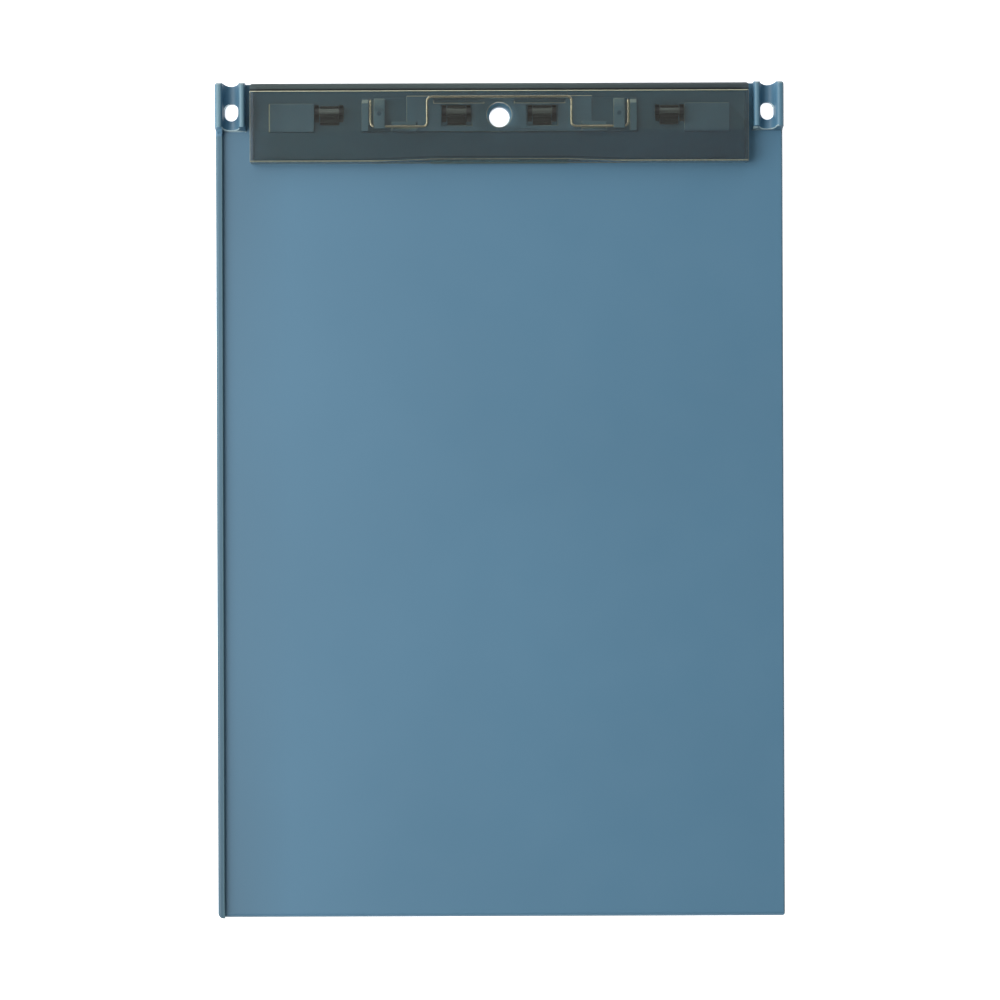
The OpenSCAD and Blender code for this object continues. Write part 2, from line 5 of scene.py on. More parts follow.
import bmesh
import bpy
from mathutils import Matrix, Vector


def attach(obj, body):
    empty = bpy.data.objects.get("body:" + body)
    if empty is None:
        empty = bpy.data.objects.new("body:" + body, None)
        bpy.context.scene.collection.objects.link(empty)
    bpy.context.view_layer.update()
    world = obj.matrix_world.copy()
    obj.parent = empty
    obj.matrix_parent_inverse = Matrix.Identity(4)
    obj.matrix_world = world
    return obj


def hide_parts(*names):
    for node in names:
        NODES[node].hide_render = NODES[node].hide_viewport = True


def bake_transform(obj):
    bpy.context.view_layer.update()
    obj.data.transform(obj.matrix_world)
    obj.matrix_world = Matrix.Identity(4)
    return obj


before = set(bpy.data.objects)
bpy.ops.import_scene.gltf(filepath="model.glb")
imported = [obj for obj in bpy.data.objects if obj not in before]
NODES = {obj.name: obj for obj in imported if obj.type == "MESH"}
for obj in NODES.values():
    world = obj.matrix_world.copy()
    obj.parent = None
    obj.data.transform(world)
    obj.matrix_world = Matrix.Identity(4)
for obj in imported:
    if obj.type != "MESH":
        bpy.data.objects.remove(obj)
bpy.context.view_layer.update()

MM = 0.001

# ---- places on the object, in metres -------------------------------------------------------

FACE_Z = 2.5 * MM
CLIP_END_Y = 158 * MM
FRONT_END_Y = -158 * MM
FAR = 1.0  # past the whole object, for a limit that isn't one
EAR_TOP_MM = 5.5


def above(height_mm):
    """Height above the writing face."""
    return FACE_Z + height_mm * MM


def from_end(distance_mm):
    """Place along the board, counted from its clip end."""
    return CLIP_END_Y - distance_mm * MM


# Spots of painted shade: distance from the middle line, place along the board, radius
HOLE_SHADE_SPOT = (0.0, from_end(12.6), 9 * MM)
KEEPER_DIMPLE = (45.35 * MM, from_end(11.6), 0.8 * MM)
SADDLE_DIMPLE = (40.0 * MM, from_end(17.65), 0.55 * MM)

# ---- the photograph's framing --------------------------------------------------------------

FRAME_PX = 1000
PX_PER_MM = 2.636
CAMERA_HEIGHT = 1.0
CAMERA_XY = (-0.20 * MM, 0.18 * MM)
CAMERA_ROLL = math.radians(-0.19)
NEAR_LIMIT = 0.01
SENSOR_MM = 36.0


def add_camera():
    """A camera straight above the middle of the board, which fills the frame as photographed."""
    view_width = FRAME_PX / PX_PER_MM * MM
    data = bpy.data.cameras.new("camera")
    data.sensor_width = SENSOR_MM
    data.lens = SENSOR_MM * CAMERA_HEIGHT / view_width
    data.clip_start = NEAR_LIMIT
    camera = bpy.data.objects.new("camera", data)
    camera.location = (*CAMERA_XY, FACE_Z + CAMERA_HEIGHT)
    camera.rotation_euler = (0.0, 0.0, CAMERA_ROLL)
    bpy.context.collection.objects.link(camera)
    bpy.context.scene.camera = camera


# ---- studio --------------------------------------------------------------------------------

WHITE = (1.0, 1.0, 1.0, 1.0)
ROOM_LIGHT = 0.20  # strength of the white room, except where the camera sees it directly
FLOOR_HALF, FLOOR_Z = 3.0, -0.05 * MM
FLOOR_GREY, FLOOR_ROUGHNESS, FLOOR_GLOW = 0.9, 0.9, 1.0

# Name, place, width and length in metres, power in watts
SOFTBOXES = (
    ("key_left", (-0.82, 0.0, 0.88), (1.4, 1.3), 17.5),
    ("rear", (0.0, 1.3, 0.7), (2.6, 1.3), 7.0),
    ("front_low", (0.0, -1.3, 0.35), (1.4, 0.25), 1.0),
    ("under", (-0.3, -0.2, -1.0), (1.4, 1.4), 6.0),
)


def add_softbox(name, place, size, power):
    """A rectangular soft lamp that points at the origin."""
    data = bpy.data.lights.new(name, "AREA")
    data.shape = "RECTANGLE"
    data.size, data.size_y = size
    data.energy = power
    lamp = bpy.data.objects.new(name, data)
    lamp.location = place
    lamp.rotation_euler = (-Vector(place)).to_track_quat("-Z", "Y").to_euler()
    bpy.context.collection.objects.link(lamp)


def add_room():
    """A white room that lights softly and shows pure white behind the object."""
    scene = bpy.context.scene
    scene.view_settings.view_transform = "Standard"
    world = bpy.data.worlds.new("studio")
    scene.world = world
    world.use_nodes = True
    tree = world.node_tree
    background = tree.nodes["Background"]
    background.inputs["Color"].default_value = WHITE
    shown = tree.nodes.new("ShaderNodeMapRange")
    shown.inputs["To Min"].default_value = ROOM_LIGHT
    rays = tree.nodes.new("ShaderNodeLightPath")
    tree.links.new(rays.outputs["Is Camera Ray"], shown.inputs["Value"])
    tree.links.new(shown.outputs["Result"], background.inputs["Strength"])


def floor_material():
    """Glowing white from above and see-through from below."""
    material = bpy.data.materials.new("floor_white")
    material.use_nodes = True
    tree = material.node_tree
    shader = tree.nodes["Principled BSDF"]
    shader.inputs["Base Color"].default_value = (FLOOR_GREY, FLOOR_GREY, FLOOR_GREY, 1.0)
    shader.inputs["Roughness"].default_value = FLOOR_ROUGHNESS
    shader.inputs["Emission Color"].default_value = WHITE
    shader.inputs["Emission Strength"].default_value = FLOOR_GLOW
    side = tree.nodes.new("ShaderNodeNewGeometry")
    clear = tree.nodes.new("ShaderNodeBsdfTransparent")
    one_sided = tree.nodes.new("ShaderNodeMixShader")
    tree.links.new(side.outputs["Backfacing"], one_sided.inputs[0])
    tree.links.new(shader.outputs[0], one_sided.inputs[1])
    tree.links.new(clear.outputs[0], one_sided.inputs[2])
    tree.links.new(one_sided.outputs[0], tree.nodes["Material Output"].inputs["Surface"])
    return material


def add_floor():
    """A floor just below the board's underside, so that the two don't flicker."""
    mesh = bpy.data.meshes.new("floor")
    corners = [(x * FLOOR_HALF, y * FLOOR_HALF, FLOOR_Z)
               for x, y in ((-1, -1), (1, -1), (1, 1), (-1, 1))]
    mesh.from_pydata(corners, [], [(0, 1, 2, 3)])
    mesh.materials.append(floor_material())
    floor = bpy.data.objects.new("floor", mesh)
    bpy.context.collection.objects.link(floor)


# ---- building materials --------------------------------------------------------------------

# A Mix node repeats its sockets' names for each type of data; these are the colour ones
MIX_FIRST, MIX_SECOND, MIX_RESULT = 6, 7, 2
LOW_NOISE, HIGH_NOISE = 0.3, 0.7  # a noise rarely leaves these values
SPOT_FADE = 0.15  # of a spot's radius, to each side
STRIPE_FADE = 0.05 * MM


class Nodes:
    """Short names for building one material's node tree."""

    def __init__(self, name):
        self.material = bpy.data.materials.new(name)
        self.material.use_nodes = True
        self.tree = self.material.node_tree
        self.shader = self.tree.nodes["Principled BSDF"]
        coordinates = self.add("ShaderNodeTexCoord")
        self.place = coordinates.outputs["Object"]
        self.normal = coordinates.outputs["Normal"]

    def add(self, kind, **settings):
        node = self.tree.nodes.new(kind)
        for key, value in settings.items():
            setattr(node, key, value)
        return node

    def link(self, source, target):
        self.tree.links.new(source, target)

    def math(self, operation, *values):
        """A Math node on the values, each a socket or a number."""
        node = self.add("ShaderNodeMath", operation=operation)
        for socket, value in zip(node.inputs, values):
            if isinstance(value, bpy.types.NodeSocket):
                self.link(value, socket)
            else:
                socket.default_value = value
        return node.outputs["Value"]

    def noise(self, scale, detail=4.0):
        noise = self.add("ShaderNodeTexNoise")
        noise.inputs["Scale"].default_value = scale
        noise.inputs["Detail"].default_value = detail
        self.link(self.place, noise.inputs["Vector"])
        return noise.outputs["Fac"]

    def tints(self, factor, colour, depth=0.03):
        """A colour that drifts a little darker and lighter with the factor."""
        ramp = self.add("ShaderNodeValToRGB")
        stops = ((LOW_NOISE, 1 - depth), (HIGH_NOISE, 1 + depth))
        for element, (position, strength) in zip(ramp.color_ramp.elements, stops):
            element.position = position
            element.color = (*(c * strength for c in colour), 1.0)
        self.link(factor, ramp.inputs["Fac"])
        return ramp.outputs["Color"]

    def between(self, factor, cloud, first, second):
        """One tint where the factor is 0, the other where it is 1."""
        return self.mix(factor, self.tints(cloud, first), self.tints(cloud, second))

    def paint(self, cloud, base, layers):
        """Lays tints over the base, each where its mask is 1. A tint is a colour or a socket."""
        colour = self.tints(cloud, base)
        for mask, tint in layers:
            if isinstance(tint, tuple):
                tint = self.tints(cloud, tint)
            colour = self.mix(mask, colour, tint)
        self.link(colour, self.shader.inputs["Base Color"])

    def mix(self, factor, first, second):
        mix = self.add("ShaderNodeMix", data_type="RGBA")
        self.link(factor, mix.inputs["Factor"])
        self.link(first, mix.inputs[MIX_FIRST])
        self.link(second, mix.inputs[MIX_SECOND])
        return mix.outputs[MIX_RESULT]

    def spread(self, factor, low, high, start=LOW_NOISE, end=HIGH_NOISE):
        """Runs from low to high while the factor runs from start to end."""
        span = self.add("ShaderNodeMapRange")
        span.inputs["From Min"].default_value = start
        span.inputs["From Max"].default_value = end
        span.inputs["To Min"].default_value = low
        span.inputs["To Max"].default_value = high
        self.link(factor, span.inputs["Value"])
        return span.outputs["Result"]

    def fade(self, mask, off, on):
        """One value where the mask is 0 and another where it is 1."""
        return self.spread(mask, off, on, 0.0, 1.0)

    def along(self, axis, mirrored=False):
        """The place along an axis of the object, without its sign if mirrored."""
        parts = self.add("ShaderNodeSeparateXYZ")
        self.link(self.place, parts.inputs["Vector"])
        value = parts.outputs[axis]
        return self.math("ABSOLUTE", value) if mirrored else value

    def band(self, axis, start, end, mirrored=False):
        """Rises from 0 to 1 between two places along an axis of the object."""
        return self.spread(self.along(axis, mirrored), 0.0, 1.0, start, end)

    def stripe(self, axis, start, end):
        """1 between two places along an axis, 0 outside them."""
        return self.product(self.band(axis, start - STRIPE_FADE, start + STRIPE_FADE),
                            self.band(axis, end + STRIPE_FADE, end - STRIPE_FADE))

    def facing(self, x, y, start=0.15, end=0.45):
        """1 where the surface leans towards a direction in plan, 0 where it is level."""
        lean = self.add("ShaderNodeVectorMath", operation="DOT_PRODUCT")
        self.link(self.normal, lean.inputs[0])
        lean.inputs[1].default_value = (x, y, 0.0)
        return self.spread(lean.outputs["Value"], 0.0, 1.0, start, end)

    def spot(self, x, y, radius):
        """1 within a radius of an upright line on each side of the middle, 0 outside it."""
        flat = self.add("ShaderNodeCombineXYZ")
        self.link(self.along("X", mirrored=True), flat.inputs["X"])
        self.link(self.along("Y"), flat.inputs["Y"])
        gap = self.add("ShaderNodeVectorMath", operation="DISTANCE")
        self.link(flat.outputs["Vector"], gap.inputs[0])
        gap.inputs[1].default_value = (x, y, 0.0)
        return self.spread(gap.outputs["Value"], 0.0, 1.0,
                           radius * (1 + SPOT_FADE), radius * (1 - SPOT_FADE))

    def product(self, first, *others):
        for other in others:
            first = self.math("MULTIPLY", first, other)
        return first

    def highest(self, first, *others):
        for other in others:
            first = self.math("MAXIMUM", first, other)
        return first

    def rough(self, roughness):
        self.link(roughness, self.shader.inputs["Roughness"])

    def bump(self, height, distance, strength):
        bump = self.add("ShaderNodeBump")
        bump.inputs["Strength"].default_value = strength
        bump.inputs["Distance"].default_value = distance
        self.link(height, bump.inputs["Height"])
        self.link(bump.outputs["Normal"], self.shader.inputs["Normal"])

    def set(self, **values):
        """Sets values that are the same all over on the shader's own sockets."""
        for key, value in values.items():
            self.shader.inputs[key].default_value = value


# ---- board ---------------------------------------------------------------------------------

# Tints of the board, in linear light, in the order in which they are laid on
BLUE = {
    "face": (0.095, 0.222, 0.333),
    # painted light: raised parts under the clip painted lighter than the face
    "raised": (0.178, 0.342, 0.495),
    # painted light: the seats, higher still, painted lighter again
    "seat": (0.205, 0.385, 0.535),
    # painted shade in the dimples of the keepers and saddles
    "dimple": (0.100, 0.220, 0.330),
    # painted shade on the raised panel around the middle hole
    "hole_shade": (0.110, 0.240, 0.350),
    "lit_edge": (0.52, 0.70, 0.68),
    # painted highlight on the rear edge of the middle panel
    "rear_edge_highlight": (0.98, 0.98, 0.74),
    # painted highlight along the left end of the left pad
    "pad_end_highlight": (0.95, 0.98, 0.70),
    "shaded_edge": (0.060, 0.130, 0.190),
    # painted shade: the left strip of the face darker, most towards its ends
    "strip": (0.084, 0.186, 0.273),
    # painted shade: the rib darker than the face, and darker still towards the front end
    "rib": (0.074, 0.166, 0.232),
    "rib_front_shade": (0.056, 0.130, 0.184),
    # painted highlight along the rib's inner top edge
    "rib_lip_highlight": (0.120, 0.225, 0.265),
    # painted shade on the ears' right-facing slopes
    "ear_slope_shade": (0.048, 0.140, 0.225),
    # painted highlights on the ears' crests, stronger on the left ear
    "left_crest_highlight": (0.165, 0.300, 0.370),
    "right_crest_highlight": (0.115, 0.250, 0.350),
    # painted highlight at the rear ends of the crests
    "crest_end_highlight": (0.25, 0.35, 0.38),
    # painted shade on the ears' front faces, and a painted highlight along their front lips
    "ear_front_shade": (0.060, 0.140, 0.210),
    "ear_lip_highlight": (0.46, 0.61, 0.64),
    # painted sheen on the upper rounded rim of the right and front edges
    "rim_sheen": (0.155, 0.215, 0.225),
}

# Where each tint sets in: the places along an axis where it starts and where it is complete
HEADER_Y, HEADER_X = (139 * MM, 139.4 * MM), (93 * MM, 92.5 * MM)
RAISED_Z = (above(0.9), above(1.1))
SEAT_Z = (above(1.5), above(1.7))
PANEL_Z = (above(1.7), above(1.5))
PANEL_REAR_Y, PANEL_X = (from_end(8.4), from_end(8.2)), (40.2 * MM, 40.0 * MM)
PAD_END_X = (-86.75 * MM, -86.9 * MM)
STRIP_X, STRIP_END_X = (-80 * MM, -100 * MM), (-105 * MM, -104.8 * MM)
REAR_STRIP_Y, FRONT_STRIP_Y = (40 * MM, 145 * MM), (-60 * MM, FRONT_END_Y)
STRIP_MIDDLE_SHARE = 0.4
RIB_X, RIB_Y = (-104.8 * MM, -105.0 * MM), (138.6 * MM, 138.0 * MM)
RIB_FRONT_Y = (0.0, FRONT_END_Y)
RIB_LIP_X = (-105.35 * MM, -105.25 * MM)
EAR_Y, EAR_X = (138.2 * MM, 138.6 * MM), (94.6 * MM, 95.0 * MM)
CREST_Z = (above(EAR_TOP_MM - 0.45), above(EAR_TOP_MM - 0.15))
CREST_END_Y = (157.0 * MM, 157.4 * MM)
RIGHT_EAR_X = (90 * MM, 100 * MM)
EAR_FRONT_X = (-105.0 * MM, -104.7 * MM)
RIM_X, RIM_Y = (107.0 * MM, 107.25 * MM), (-157.5 * MM, -157.75 * MM)
RIM_Z = (above(-1.2), above(-0.9))

# Directions in plan, and how far a surface leans towards one, as the sine of its slope
REAR_LEFT, FRONT_RIGHT = (-0.7, 0.7), (0.7, -0.7)
REAR, FRONT, RIGHT = (0.0, 1.0), (0.0, -1.0), (1.0, 0.0)
LEANING, NOT_UPRIGHT = (0.10, 0.25), (0.97, 0.92)
POLISH_UNDER_CLIP = -0.18  # added to the roughness


def board_material():
    """Matt blue moulded plastic with a fine spark-eroded grain, glossier under the clip; light and
    shade are painted in.
    """
    m = Nodes("board_blue")
    cloud = m.noise(scale=9.0, detail=2.0)
    header = m.product(m.band("Y", *HEADER_Y), m.band("X", *HEADER_X, mirrored=True))
    raised = m.product(header, m.band("Z", *RAISED_Z))
    seats = m.product(header, m.band("Z", *SEAT_Z))
    dimples = m.product(seats, m.highest(m.spot(*KEEPER_DIMPLE), m.spot(*SADDLE_DIMPLE)))
    hole_shade = m.product(raised, m.spot(*HOLE_SHADE_SPOT))
    rear_edge_highlights = m.product(raised, m.facing(*REAR), m.band("Z", *PANEL_Z),
                           m.band("Y", *PANEL_REAR_Y), m.band("X", *PANEL_X, mirrored=True))
    pad_end_highlight = m.product(raised, m.band("X", *PAD_END_X))
    strip_ends = m.highest(m.band("Y", *REAR_STRIP_Y), m.band("Y", *FRONT_STRIP_Y))
    strip = m.product(m.band("X", *STRIP_X), m.band("X", *STRIP_END_X),
                      m.fade(strip_ends, STRIP_MIDDLE_SHARE, 1.0))
    rib = m.product(m.band("X", *RIB_X), m.band("Y", *RIB_Y))
    rib_lip_highlight = m.product(rib, m.band("X", *RIB_LIP_X))
    ears = m.product(m.band("Y", *EAR_Y), m.band("X", *EAR_X, mirrored=True))
    crests = m.product(ears, m.band("Z", *CREST_Z))
    ear_fronts = m.product(ears, m.facing(*FRONT, *LEANING), m.band("X", *EAR_FRONT_X))
    rim_sheen = m.product(m.highest(m.band("X", *RIM_X), m.band("Y", *RIM_Y)), m.band("Z", *RIM_Z))
    m.paint(cloud, BLUE["face"], (
        (raised, BLUE["raised"]),
        (seats, BLUE["seat"]),
        (dimples, BLUE["dimple"]),
        (hole_shade, BLUE["hole_shade"]),
        (m.product(raised, m.facing(*REAR_LEFT)), BLUE["lit_edge"]),
        (rear_edge_highlights, BLUE["rear_edge_highlight"]),
        (pad_end_highlight, BLUE["pad_end_highlight"]),
        (m.product(raised, m.facing(*FRONT_RIGHT)), BLUE["shaded_edge"]),
        (strip, BLUE["strip"]),
        (rib, m.between(m.band("Y", *RIB_FRONT_Y), cloud, BLUE["rib"], BLUE["rib_front_shade"])),
        (rib_lip_highlight, BLUE["rib_lip_highlight"]),
        (m.product(ears, m.facing(*RIGHT)), BLUE["ear_slope_shade"]),
        (crests, m.between(m.band("X", *RIGHT_EAR_X), cloud,
                           BLUE["left_crest_highlight"], BLUE["right_crest_highlight"])),
        (m.product(crests, m.band("Y", *CREST_END_Y)), BLUE["crest_end_highlight"]),
        (ear_fronts, m.between(m.facing(*FRONT, *NOT_UPRIGHT), cloud,
                               BLUE["ear_front_shade"], BLUE["ear_lip_highlight"])),
        (rim_sheen, BLUE["rim_sheen"]),
    ))
    matt = m.spread(m.noise(scale=60.0), low=0.38, high=0.46)
    m.rough(m.math("MULTIPLY_ADD", raised, POLISH_UNDER_CLIP, matt))
    m.bump(m.noise(scale=2600.0, detail=2.0), distance=0.02 * MM, strength=0.35)
    return m.material


# ---- clip ----------------------------------------------------------------------------------

# Tints of the see-through clip, in linear light; light from the board passes them twice or more
SMOKE = {
    "rear": (0.62, 0.645, 0.60),
    # painted shade: the jaw's part of the clip darker, more towards the right
    "front_left_shade": (0.583, 0.613, 0.574),
    "front_right_shade": (0.535, 0.560, 0.552),
    # painted light: the clip lighter near its left end
    "left_end_light": (0.64, 0.68, 0.65),
    "shade": (0.46, 0.49, 0.46),
    # painted highlight on the jaw's sill
    "sill": (0.65, 0.84, 0.90),
    # painted shade: the cheeks that hold the pins painted dark
    "cheek": (0.060, 0.070, 0.074),
    # painted light and shade: the left end wall lighter, the right one darker
    "lit_left_wall": (0.57, 0.63, 0.66),
    "shaded_right_wall": (0.32, 0.42, 0.45),
    # painted dark reflection along the press bar, lightest in the middle
    "bar_left": (0.120, 0.177, 0.180),
    "bar_middle": (0.154, 0.213, 0.217),
    "bar_right": (0.115, 0.155, 0.172),
    # painted shade in the groove beside the crease
    "groove": (0.045, 0.050, 0.055),
}

BAR_Y = (from_end(3.1), from_end(2.9))
GROOVE_Y = (from_end(3.3), from_end(2.5))
SHADE_Y = (from_end(4.0), from_end(3.5))
SILL_Y, SILL_Z = (128.85 * MM, 128.75 * MM), (above(2.3), above(2.2))
WALL_X = (92.8 * MM, 92.9 * MM)
CHEEK_X, CHEEK_Y, CHEEK_Z = (92 * MM, 91.8 * MM), (139 * MM, 139.2 * MM), (above(4.4), above(4.3))
ACROSS_X = (-80 * MM, 80 * MM)
LEFT_HALF_X, RIGHT_HALF_X = (-80 * MM, 0.0), (0.0, 80 * MM)
LEFT_END_X = (-86 * MM, -91 * MM)
JAW_Y = (140.5 * MM, 139 * MM)


def smoke_material():
    """Clear polished plastic with a smoke tint.

    It is duller along the press bar, painted dark there as a painted reflection, lightest in the
    middle, with painted shade in the groove beside the crease and in a stripe in front of it.
    Painted shade darkens the jaw's part, more towards the right, and the cheeks that hold the pins;
    painted light lightens the left end and the jaw's sill, and the left end wall is painted lighter
    than the right one. The end walls are slightly frosted, and the cheeks are dull and nearly
    opaque.
    """
    m = Nodes("clip_smoke")
    m.set(IOR=1.5)
    cloud = m.noise(scale=30.0)
    bar = m.band("Y", *BAR_Y)
    groove = m.stripe("Y", *GROOVE_Y)
    sill = m.product(m.band("Y", *SILL_Y), m.band("Z", *SILL_Z))
    walls = m.band("X", *WALL_X, mirrored=True)
    cheeks = m.product(m.band("Z", *CHEEK_Z), m.band("X", *CHEEK_X, mirrored=True),
                       m.band("Y", *CHEEK_Y))
    across = m.band("X", *ACROSS_X)
    bar_left = m.between(m.band("X", *LEFT_HALF_X), cloud, SMOKE["bar_left"], SMOKE["bar_middle"])
    m.paint(cloud, SMOKE["rear"], (
        (m.band("Y", *JAW_Y),
         m.between(across, cloud, SMOKE["front_left_shade"], SMOKE["front_right_shade"])),
        (m.band("X", *LEFT_END_X), SMOKE["left_end_light"]),
        (m.stripe("Y", *SHADE_Y), SMOKE["shade"]),
        (sill, SMOKE["sill"]),
        (cheeks, SMOKE["cheek"]),
        (walls, m.between(across, cloud, SMOKE["lit_left_wall"], SMOKE["shaded_right_wall"])),
        (bar, m.mix(m.band("X", *RIGHT_HALF_X), bar_left, m.tints(cloud, SMOKE["bar_right"]))),
        (groove, SMOKE["groove"]),
    ))
    dull = m.highest(bar, groove, cheeks)
    clear = m.product(m.fade(dull, off=0.97, on=0.70), m.fade(cheeks, off=1.0, on=0.2),
                      m.fade(walls, off=1.0, on=0.92))
    m.link(clear, m.shader.inputs["Transmission Weight"])
    m.rough(m.fade(dull, off=0.03, on=0.4))
    return m.material


CREASE_Y = (from_end(4.0), from_end(3.9))
RIGHT_EDGE_X = (93.5 * MM, 93.9 * MM)
# painted glint on the clip's rounded edges, a painted highlight at the crease, painted shade at the
# right end
SMOKE_EDGE_GLINT, CREASE_HIGHLIGHT, RIGHT_EDGE_SHADE = (0.21, 0.23, 0.175), (0.96, 0.97, 0.66), (0.10, 0.12, 0.12)


def smoke_edge_material():
    """The clip's rounded edges: a painted glint, brightest at the crease as a painted highlight,
    and painted shade at the right end.
    """
    m = Nodes("clip_smoke_edge")
    m.paint(m.noise(scale=90.0), SMOKE_EDGE_GLINT, (
        (m.band("Y", *CREASE_Y), CREASE_HIGHLIGHT),
        (m.band("X", *RIGHT_EDGE_X), RIGHT_EDGE_SHADE),
    ))
    m.rough(m.spread(m.noise(scale=900.0), low=0.24, high=0.30))
    return m.material


# ---- small pieces --------------------------------------------------------------------------


def small_material(name, colour, depth, cloud, polish, grain=None, metallic=0.0):
    """One colour that drifts by a depth, with uneven polish and perhaps a fine grain.

    cloud is the scale of the drift's noise. polish is its noise's scale and the least and most
    roughness, and grain is its noise's scale, the grain's height and its strength.
    """
    m = Nodes(name)
    m.set(Metallic=metallic)
    m.link(m.tints(m.noise(cloud), colour, depth), m.shader.inputs["Base Color"])
    scale, least, most = polish
    m.rough(m.spread(m.noise(scale), least, most))
    if grain:
        scale, height, strength = grain
        m.bump(m.noise(scale), height, strength)
    return m.material


def wire_material():
    """Bright drawn spring wire, faintly golden."""
    return small_material("spring_wire", colour=(0.94, 0.84, 0.66), depth=0.04, cloud=120.0,
                          polish=(250.0, 0.20, 0.24), metallic=1.0)


def pin_material():
    """Steel rod with a dull black finish."""
    return small_material("pin_steel", colour=(0.31, 0.35, 0.36), depth=0.05, cloud=300.0,
                          polish=(1200.0, 0.32, 0.42), metallic=1.0)


def bearing_material():
    """Dark smooth moulded plastic."""
    return small_material("bearing_graphite", colour=(0.003, 0.007, 0.009), depth=0.15,
                          cloud=80.0, polish=(200.0, 0.3, 0.42), grain=(1800.0, 0.01 * MM, 0.3))


def strip_material():
    """Soft grey rubber."""
    return small_material("strip_rubber", colour=(0.108, 0.185, 0.205), depth=0.1,
                          cloud=120.0, polish=(300.0, 0.5, 0.65), grain=(1500.0, 0.02 * MM, 0.4))


# ---- rounding the edges of CAD nodes -------------------------------------------------------

SHARP = math.radians(30)
FLAT = math.radians(0.5)
SHORTEST_SOFT = 0.2 * MM
SAME_POINT = 0.002 * MM
BEVEL_SEGMENTS = 2
FACE_WEIGHT = 100  # the highest: the normals at an edge follow the larger face


class Steps:
    """Short names for building a geometry-nodes group that passes one mesh through."""

    def __init__(self, name):
        self.tree = bpy.data.node_groups.new(name, "GeometryNodeTree")
        for in_out in ("INPUT", "OUTPUT"):
            self.tree.interface.new_socket("Geometry", in_out=in_out,
                                           socket_type="NodeSocketGeometry")
        self.mesh = self.tree.nodes.new("NodeGroupInput").outputs[0]

    def add(self, kind, values=(), **settings):
        node = self.tree.nodes.new(kind)
        for key, value in settings.items():
            setattr(node, key, value)
        for key, value in values:
            if isinstance(value, bpy.types.NodeSocket):
                self.tree.links.new(value, node.inputs[key])
            else:
                node.inputs[key].default_value = value
        return node

    def step(self, kind, values=(), **settings):
        node = self.add(kind, values, **settings)
        self.tree.links.new(self.mesh, node.inputs[0])
        self.mesh = node.outputs[0]

    def math(self, operation, first, second):
        return self.add("ShaderNodeMath", ((0, first), (1, second)), operation=operation).outputs[0]

    def finish(self):
        self.tree.links.new(self.mesh, self.tree.nodes.new("NodeGroupOutput").inputs[0])
        return self.tree


def plain_mesh():
    """Joins the loaded faces into one skin and drops their own normals."""
    steps = Steps("plain_mesh")
    steps.step("GeometryNodeMergeByDistance", (("Distance", SAME_POINT),))
    steps.step("GeometryNodeRemoveAttribute", (("Name", "custom_normal"),))
    steps.step("GeometryNodeSetShadeSmooth")
    return steps.finish()


def soft_edges(name, boxes):
    """Marks for rounding the outer edges whose middle lies in one of the boxes.

    The rest stay sharp. A box is ((x, y, z), (x, y, z)), its lowest and highest corner in
    metres, with x without sign.
    """
    steps = Steps(name)
    angle = steps.add("GeometryNodeInputMeshEdgeAngle").outputs
    ends = steps.add("GeometryNodeInputMeshEdgeVertices").outputs
    length = steps.add("ShaderNodeVectorMath", ((0, ends["Position 1"]), (1, ends["Position 2"])),
                       operation="DISTANCE").outputs["Value"]
    place = steps.add("ShaderNodeSeparateXYZ",
                      ((0, steps.add("GeometryNodeInputPosition").outputs[0]),)).outputs
    axes = (steps.math("ABSOLUTE", place["X"], 0.0), place["Y"], place["Z"])
    inside = 0.0
    for low, high in boxes:
        here = 1.0
        for value, start, end in zip(axes, low, high):
            here = steps.math("MULTIPLY", here, steps.math("GREATER_THAN", value, start))
            here = steps.math("MULTIPLY", here, steps.math("LESS_THAN", value, end))
        inside = steps.math("MAXIMUM", inside, here)
    outer = steps.math("MULTIPLY", steps.math("GREATER_THAN", angle["Signed Angle"], SHARP),
                       steps.math("GREATER_THAN", length, SHORTEST_SOFT))
    weight = steps.math("MULTIPLY", outer, inside)
    hard = steps.math("MULTIPLY", steps.math("GREATER_THAN", angle["Unsigned Angle"], SHARP),
                      steps.math("SUBTRACT", 1.0, weight))
    steps.step("GeometryNodeStoreNamedAttribute",
               (("Name", "bevel_weight_edge"), ("Value", weight)), data_type="FLOAT", domain="EDGE")
    steps.step("GeometryNodeSetShadeSmooth", (("Selection", hard), ("Shade Smooth", False)),
               domain="EDGE")
    return steps.finish()


PLAIN = plain_mesh()
EVERYWHERE = soft_edges("soft_everywhere", [((-FAR, -FAR, -FAR), (FAR, FAR, FAR))])
# What the clip covers, and the front ends of the ears
BOARD_SOFT = soft_edges("soft_board", [
    ((-FAR, 139 * MM, above(0.5)), (92.5 * MM, FAR, FAR)),
    ((95 * MM, 138 * MM, above(0.5)), (FAR, 142.5 * MM, FAR))])
# The rim of the top face, and the jaw's front wall above its sill
CLIP_SOFT = soft_edges("soft_clip", [
    ((-FAR, -FAR, above(6.0)), (FAR, FAR, FAR)),
    ((-FAR, -FAR, above(1.9)), (FAR, 127.95 * MM, FAR))])


